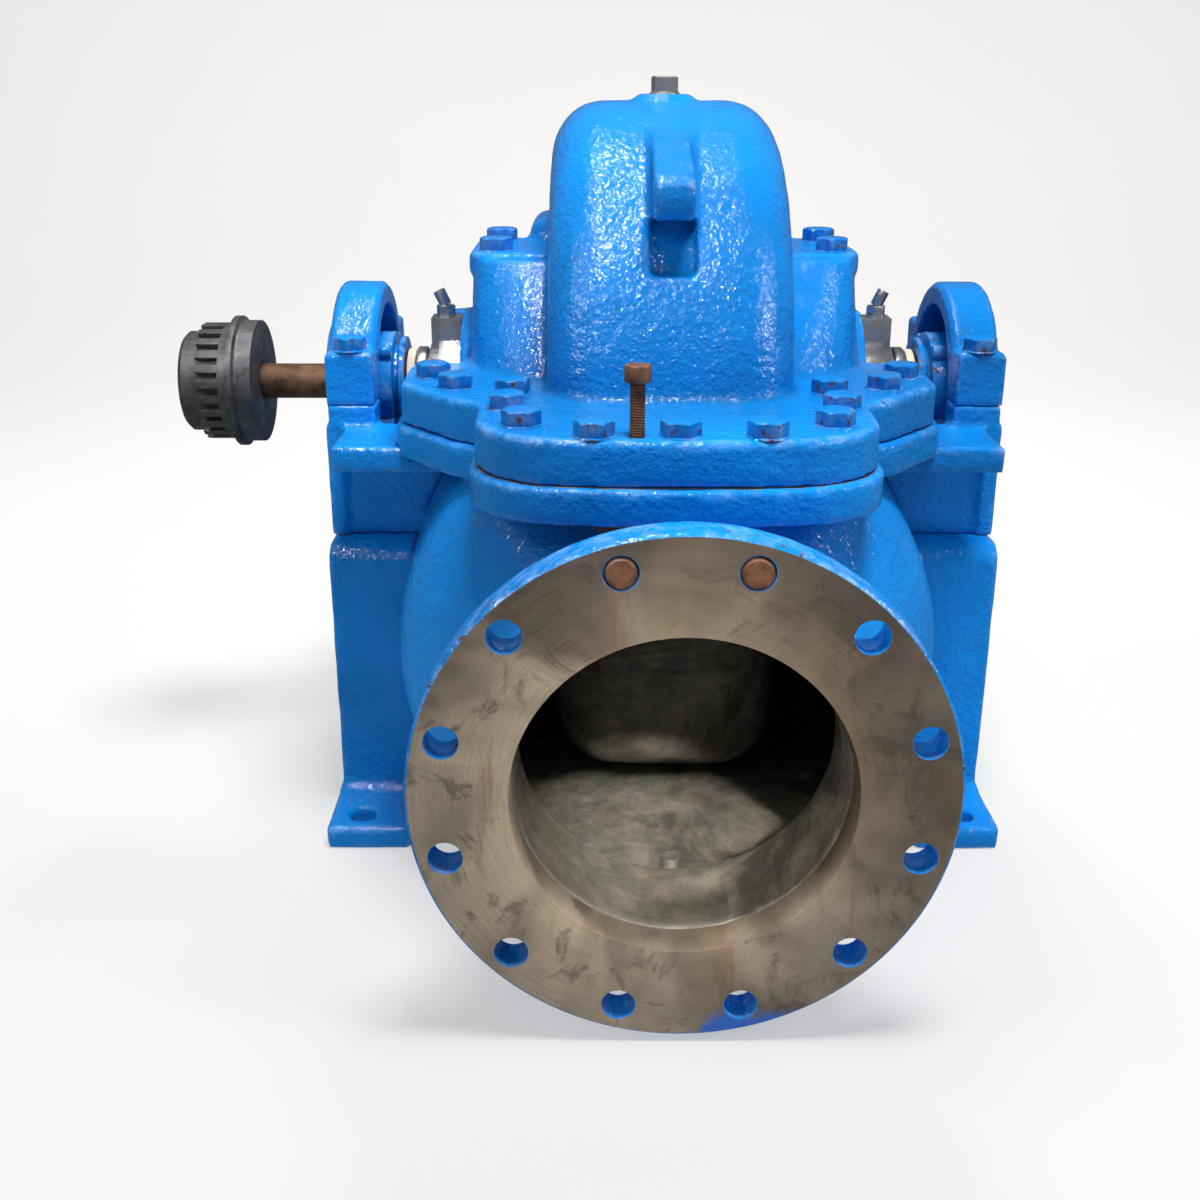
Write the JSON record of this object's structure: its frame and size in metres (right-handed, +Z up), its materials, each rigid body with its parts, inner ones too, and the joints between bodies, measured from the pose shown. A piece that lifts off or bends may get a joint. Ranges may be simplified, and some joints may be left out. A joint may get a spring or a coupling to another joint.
{
  "type": "horizontal split case double suction centrifugal pump",
  "caption": "Axially split double suction pump with a tall volute hood, side flanged nozzles, bearing brackets on foot pedestals and a shaft with a toothed coupling hub.",
  "frame": {"origin": "middle of the four foot bolts on the base plane, under the shaft axis", "axes": "+Z up, +X along the shaft away from the coupling hub, -Y out of the suction nozzle"},
  "size_m": [0.816, 0.955, 0.703],
  "materials": {
    "blue_enamel": "glossy brushed enamel over rough castings",
    "gasket_fibre": "compressed fibre sheet",
    "rusty_steel": "rusty bolt steel",
    "plain_steel": "dull worn steel",
    "stainless_steel": "machined stainless steel",
    "shaft_steel": "rusty turned steel",
    "hub_iron": "dark grey cast iron",
    "bronze": "cast bronze",
    "cream_rubber": "aged cream rubber"
  },
  "bodies": {
    "pump": {"lower_casing": "blue_enamel", "upper_casing": "blue_enamel", "suction_flange": "blue_enamel", "discharge_flange": "blue_enamel", "front_flange_bolts": "blue_enamel", "rear_flange_bolts": "blue_enamel", "pad_bolts": "blue_enamel", "left_bearing_bracket": "blue_enamel", "right_bearing_bracket": "blue_enamel", "left_bearing_cap": "blue_enamel", "right_bearing_cap": "blue_enamel", "left_bearing_cartridge": "blue_enamel", "right_bearing_cartridge": "blue_enamel", "left_cap_bolts": "blue_enamel", "right_cap_bolts": "blue_enamel", "left_outer_cover": "blue_enamel", "right_outer_cover": "blue_enamel", "left_pedestal": "blue_enamel", "right_pedestal": "blue_enamel", "casing_gasket": "gasket_fibre", "jack_bolt": "rusty_steel", "vent_plug": "plain_steel", "drain_plug": "plain_steel", "left_seal_gland": "stainless_steel", "right_seal_gland": "stainless_steel", "left_gland_bolts": "stainless_steel", "right_gland_bolts": "stainless_steel", "left_flush_fitting": "plain_steel", "right_flush_fitting": "plain_steel"},
    "rotor": {"shaft": "shaft_steel", "coupling_hub": "hub_iron", "coupling_key": "plain_steel", "impeller": "bronze", "left_shaft_sleeve": "stainless_steel", "right_shaft_sleeve": "stainless_steel", "left_seal_collar": "stainless_steel", "right_seal_collar": "stainless_steel", "left_deflector": "cream_rubber", "right_deflector": "cream_rubber"}
  },
  "joints": [
    {"name": "rotor_spin", "type": "hinge", "parent": "pump", "child": "rotor", "pos_m": [0, 0, 0.41], "axis": [1, 0, 0], "continuous": true}
  ]
}
